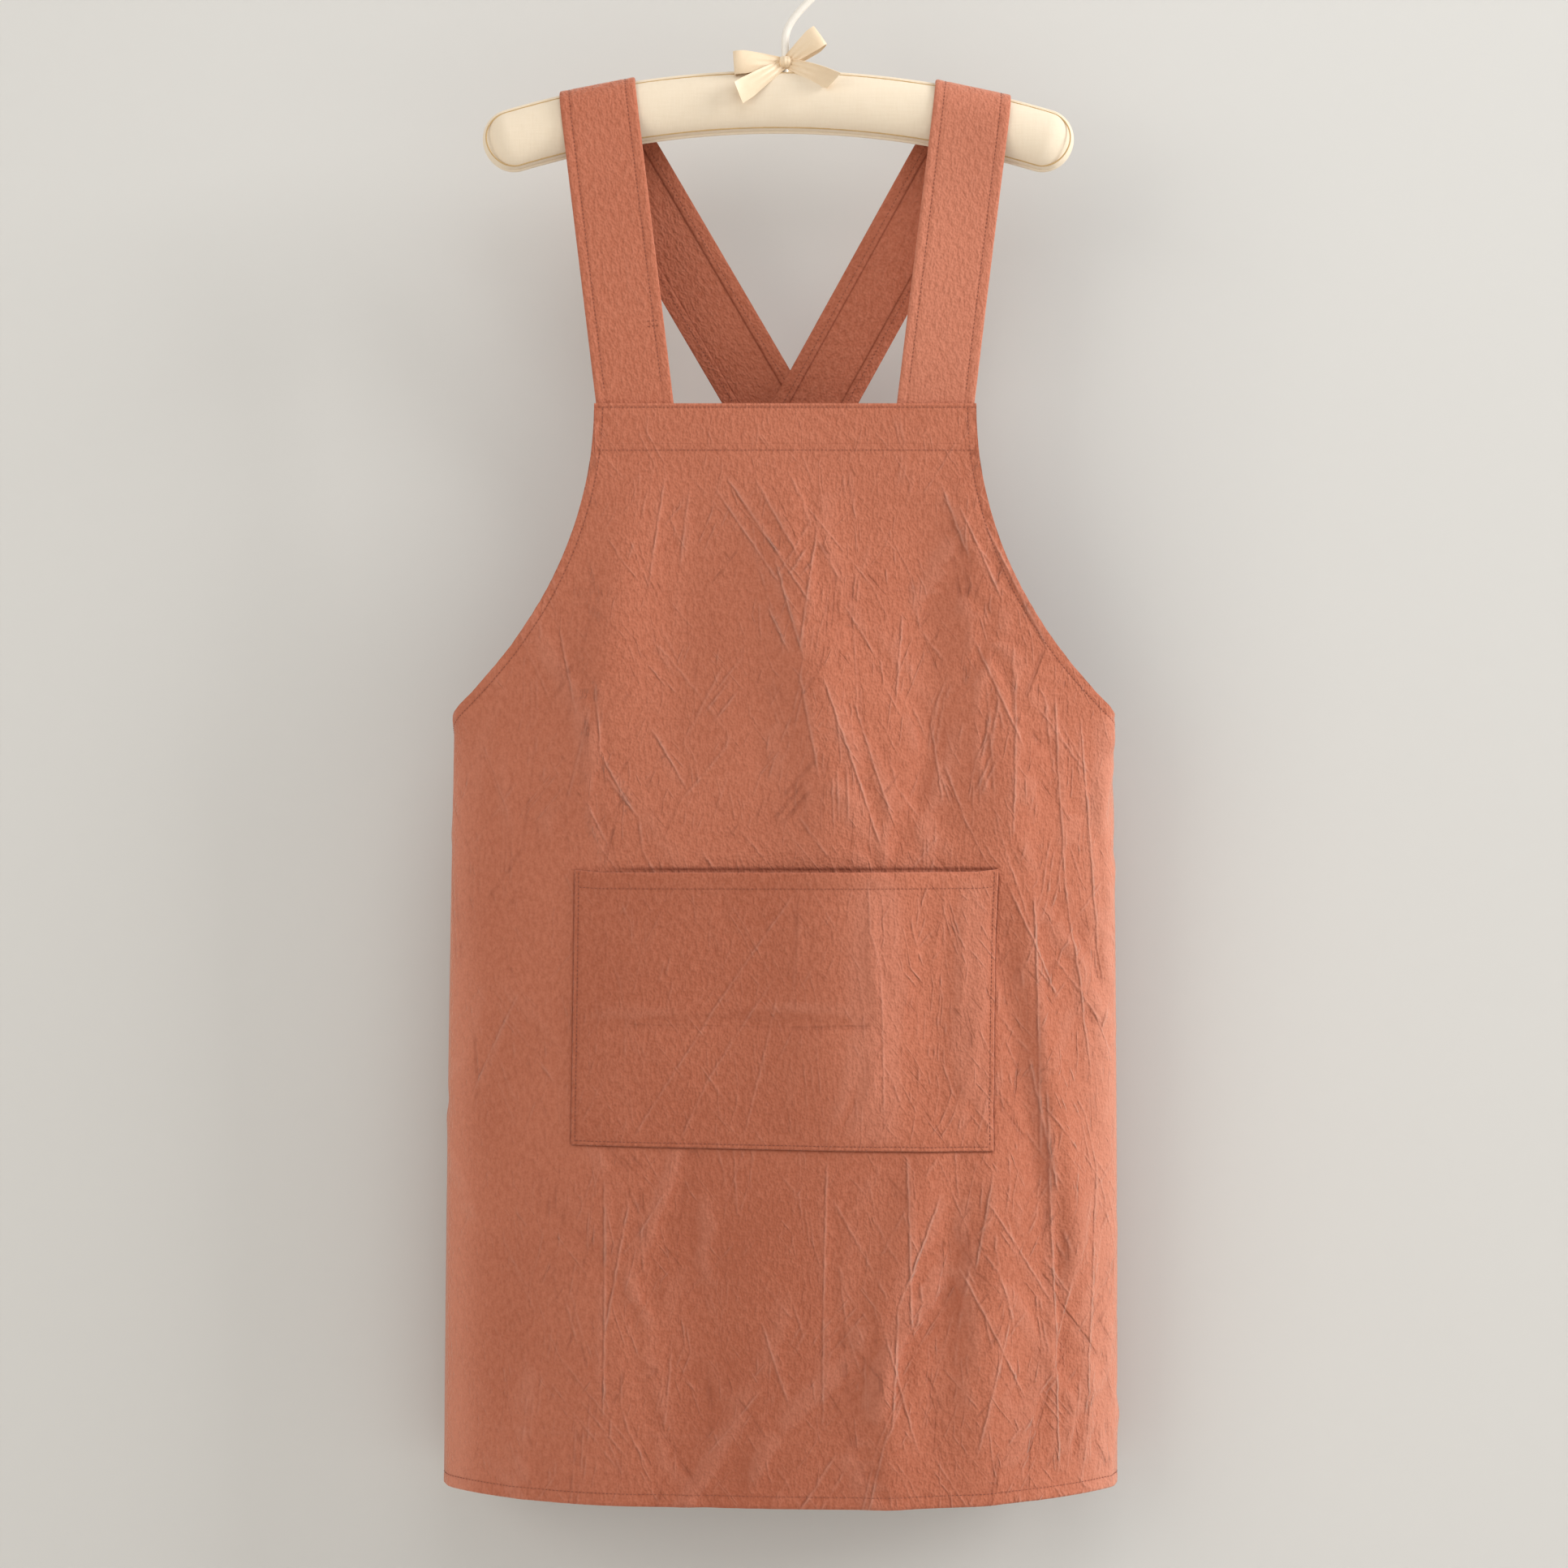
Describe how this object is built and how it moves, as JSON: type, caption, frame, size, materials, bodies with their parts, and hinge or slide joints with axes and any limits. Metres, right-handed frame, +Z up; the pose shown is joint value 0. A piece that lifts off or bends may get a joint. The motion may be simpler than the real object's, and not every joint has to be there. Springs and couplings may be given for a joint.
{
  "type": "apron on a padded hanger",
  "caption": "Cross-back work apron of washed linen with a wide patch pocket, hung by its straps over a padded hanger with a wire hook and a ribbon bow.",
  "frame": {"origin": "the hook's bight, the inside top of the hook, where a rail carries it", "axes": "+Z up, -Y towards the apron's front, +X to the right of someone looking at the front"},
  "size_m": [0.4472, 0.1213, 1.0119],
  "materials": {
    "linen": "washed terracotta linen",
    "hanger_cloth": "fine cream cotton, padded",
    "hook_paint": "white coated wire",
    "ribbon": "beige satin"
  },
  "bodies": {
    "root": {"apron_body": "linen", "pocket": "linen", "strap_left": "linen", "strap_right": "linen", "hanger_arm": "hanger_cloth", "hanger_hook": "hook_paint", "hanger_bow": "ribbon"}
  },
  "joints": []
}
